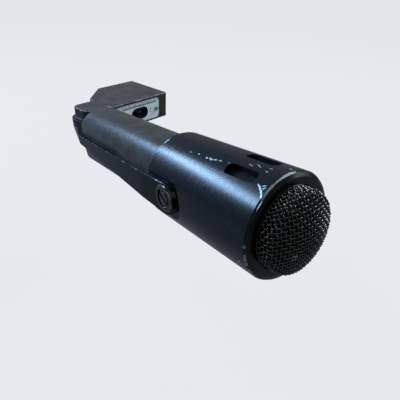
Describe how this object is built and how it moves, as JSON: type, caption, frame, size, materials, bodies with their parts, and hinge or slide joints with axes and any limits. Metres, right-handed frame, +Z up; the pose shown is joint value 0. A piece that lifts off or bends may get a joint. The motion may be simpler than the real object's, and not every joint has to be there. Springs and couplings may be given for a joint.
{
  "type": "yoke microphone",
  "caption": "Microphone with a ported barrel and wire grille that tilts in a fork yoke, which swivels on a switched base box for a threaded stand.",
  "frame": {"origin": "centre of the stand thread's mouth in the underside of the base", "axes": "+Z up along the stand thread and parallel to the swivel axis, +X towards the face plate, +Y along the base away from the swivel"},
  "size_m": [0.2616, 0.1526, 0.074],
  "materials": {
    "grille": "black painted woven wire",
    "foam": "open-cell foam",
    "bezel": "gloss black enamel",
    "barrel": "satin black paint with chipped edges",
    "tail": "soft matt charcoal paint",
    "yoke": "dark grey paint, worn edges",
    "base": "matt dark grey paint",
    "plate": "fine brushed silver",
    "dark_screw": "black oxide",
    "steel": "plain steel",
    "brass": "turned brass",
    "capsule": "turned aluminium",
    "rubber": "black rubber",
    "plastic": "black moulded plastic",
    "board": "phenolic board"
  },
  "bodies": {
    "base": {"base_shell": "base", "bottom_cover": "base", "cover_screws": "steel", "face_plate": "plate", "plate_screws": "steel", "switch_surround": "plastic", "switch_body": "plastic", "stand_insert": "brass", "output_socket": "steel", "socket_nut": "steel", "terminal_board": "board", "terminal_tags": "brass", "board_screws": "steel", "swivel_washer": "plastic", "spring_washer": "steel", "swivel_screw": "steel"},
    "yoke": {"yoke": "yoke", "pivot_washer_right": "plastic", "pivot_washer_left": "plastic"},
    "microphone": {"grille_mesh": "grille", "wind_foam": "foam", "front_bezel": "bezel", "barrel_shell": "barrel", "port_screen": "steel", "capsule_body": "capsule", "capsule_cover": "capsule", "capsule_mount_front": "rubber", "capsule_mount_rear": "rubber", "joining_ring": "capsule", "transformer": "steel", "transformer_cradle": "plastic", "tail_shell": "tail", "tail_end_cap": "plastic", "lead_grommet": "rubber", "pivot_bush_right": "brass", "pivot_bush_left": "brass", "pivot_screw_right": "dark_screw", "pivot_screw_left": "dark_screw"},
    "switch": {"switch_knob": "plastic"}
  },
  "joints": [
    {"name": "swivel", "type": "hinge", "parent": "base", "child": "yoke", "pos_m": [0.0106, -0.0467, 0.01], "axis": [0, 0, 1], "range_deg": [-150, 5]},
    {"name": "tilt", "type": "hinge", "parent": "yoke", "child": "microphone", "pos_m": [0.16661, -0.08401, 0.03088], "axis": [0.2326, 0.9726, 0], "range_deg": [-75, 75]},
    {"name": "switch_slide", "type": "slide", "parent": "base", "child": "switch", "axis": [0, 1, 0], "range_m": [0, 0.005]}
  ]
}
